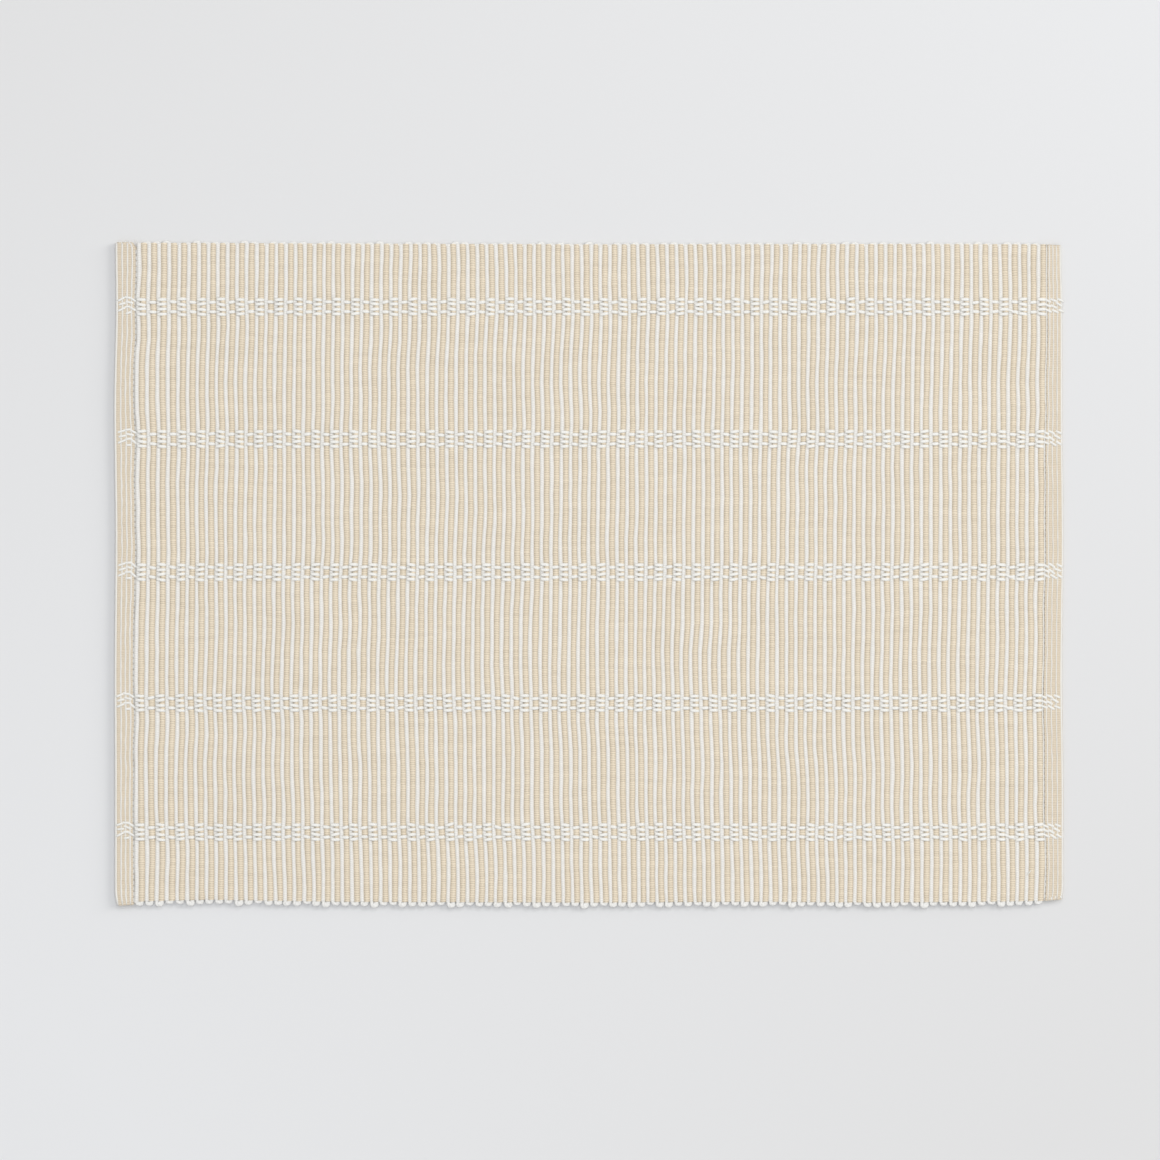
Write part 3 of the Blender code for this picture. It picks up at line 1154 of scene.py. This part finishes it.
for x, y, angle, length in TUFTS:
    start = placed(x, y, 0.0017)
    add_strand(bm, *fibre_path(start, math.radians(angle), length, x * 90.0, TUFT_SIZE, 0.0004), 6)
loose_ends = strands_piece("loose_fibres", bm, float_yarn)

on_the_warp = [white_warp, filling_loops, floats, hem_ribs, stitches, hem_floats, loose_ends] + hems
cloth_pieces = [beige_warp] + on_the_warp

# The floor and the light
# The mat lies on a plain pale table. Round the mat its colour holds painted shade and painted light:
# darker towards the upper left and lower right, lighter towards the other two corners, and a little
# darker to the right, fading out farther from the mat. Large soft lights hang overhead and stand behind
# the mat's upper edge. A low one on the right lays the mat's shadow on the table, and a small one lights
# the cloth from above.
# The table's painted shade and painted light, in its colour round the mat.
FLOOR_SHADED = (0.758, 0.755, 0.757, 1.0)
FLOOR_LIT = (0.811, 0.814, 0.825, 1.0)
FLOOR_SADDLE = 5.6  # of its tone, over X times Y
FLOOR_SLOPE = -0.42  # of its tone, along X

bpy.ops.object.select_all(action="DESELECT")
bpy.ops.mesh.primitive_plane_add(size=40.0, location=(0.0, 0.0, -0.00003))
floor = bpy.context.active_object
floor.name = "floor"
bpy.ops.object.transform_apply(location=True, rotation=False, scale=False)
floor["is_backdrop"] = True

floor_paint = bpy.data.materials.new("pale floor")
floor_paint.use_nodes = True
floor_tree = floor_paint.node_tree
floor_shader = floor_tree.nodes["Principled BSDF"]
floor_place = add_node(floor_tree, "ShaderNodeTexCoord")
floor_split = add_node(
    floor_tree, "ShaderNodeSeparateXYZ", {}, {"Vector": floor_place.outputs["Object"]}
)
floor_away = add_node(
    floor_tree, "ShaderNodeVectorMath", {"operation": "LENGTH"}, {0: floor_place.outputs["Object"]}
)
near_mat = add_node(
    floor_tree, "ShaderNodeMapRange", {"interpolation_type": "SMOOTHSTEP"},
    {
        "Value": floor_away.outputs["Value"],
        "From Min": 0.42,
        "From Max": 1.2,
        "To Min": 1.0,
        "To Max": 0.0,
    },
)
crosswise = add_node(
    floor_tree, "ShaderNodeMath", {"operation": "MULTIPLY"},
    {0: floor_split.outputs["X"], 1: floor_split.outputs["Y"]},
)
saddle = add_node(
    floor_tree, "ShaderNodeMath", {"operation": "MULTIPLY"}, {0: crosswise.outputs[0], 1: FLOOR_SADDLE}
)
slope = add_node(
    floor_tree, "ShaderNodeMath", {"operation": "MULTIPLY_ADD"},
    {0: floor_split.outputs["X"], 1: FLOOR_SLOPE, 2: saddle.outputs[0]},
)
faded = add_node(
    floor_tree, "ShaderNodeMath", {"operation": "MULTIPLY_ADD", "use_clamp": True},
    {0: slope.outputs[0], 1: near_mat.outputs[0], 2: 0.5},
)
floor_tone = add_node(
    floor_tree, "ShaderNodeMix", {"data_type": "RGBA"},
    {0: faded.outputs[0], 6: FLOOR_SHADED, 7: FLOOR_LIT},
)
floor_tree.links.new(floor_tone.outputs[2], floor_shader.inputs["Base Color"])
floor_shader.inputs["Roughness"].default_value = 0.9
floor_shader.inputs["Specular IOR Level"].default_value = 0.2
floor.data.materials.append(floor_paint)


def area_light(name, place, size, power, colour):
    """A square soft light that faces the mat's middle. power is in watts."""
    data = bpy.data.lights.new(name, "AREA")
    data.size = size
    data.energy = power
    data.color = colour
    light = bpy.data.objects.new(name, data)
    light.location = place
    light.rotation_euler = (-Vector(place)).to_track_quat("-Z", "Y").to_euler()
    bpy.context.scene.collection.objects.link(light)
    return light


def shining_on(light, things, name):
    """Lets a light reach these things alone."""
    reached = bpy.data.collections.new(name)
    for thing in things:
        reached.objects.link(thing)
    light.light_linking.receiver_collection = reached


area_light("window", (1.6, 5.6, 4.4), size=2.0, power=75.0, colour=(1.0, 0.99, 0.975))
area_light("overhead", (0.2, 0.1, 4.0), size=3.0, power=47.0, colour=(1.0, 0.99, 0.98))
table_key = area_light(
    "table key", (7.2, 2.6, 2.3), size=3.2, power=440.0, colour=(1.0, 0.985, 0.955)
)
shining_on(table_key, [floor], "table alone")
cloth_key = area_light(
    "cloth key", (0.60, 0.1, 2.0), size=1.0, power=13.7, colour=(1.0, 0.99, 0.975)
)
shining_on(cloth_key, cloth_pieces, "cloth alone")

world = bpy.data.worlds.new("pale room")
world.use_nodes = True
world.node_tree.nodes["Background"].inputs["Color"].default_value = (0.95, 0.975, 1.0, 1.0)
world.node_tree.nodes["Background"].inputs["Strength"].default_value = 0.50
bpy.context.scene.world = world
bpy.context.scene.view_settings.view_transform = "Standard"
bpy.context.scene.view_settings.look = "None"
bpy.context.scene.view_settings.exposure = 0.0

# The size of the dressed mat, beside the solid's
seen_low, seen_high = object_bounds()
sizes = {
    "cad": [list(cad_low), list(cad_high)],
    "visual": [list(seen_low), list(seen_high)],
}
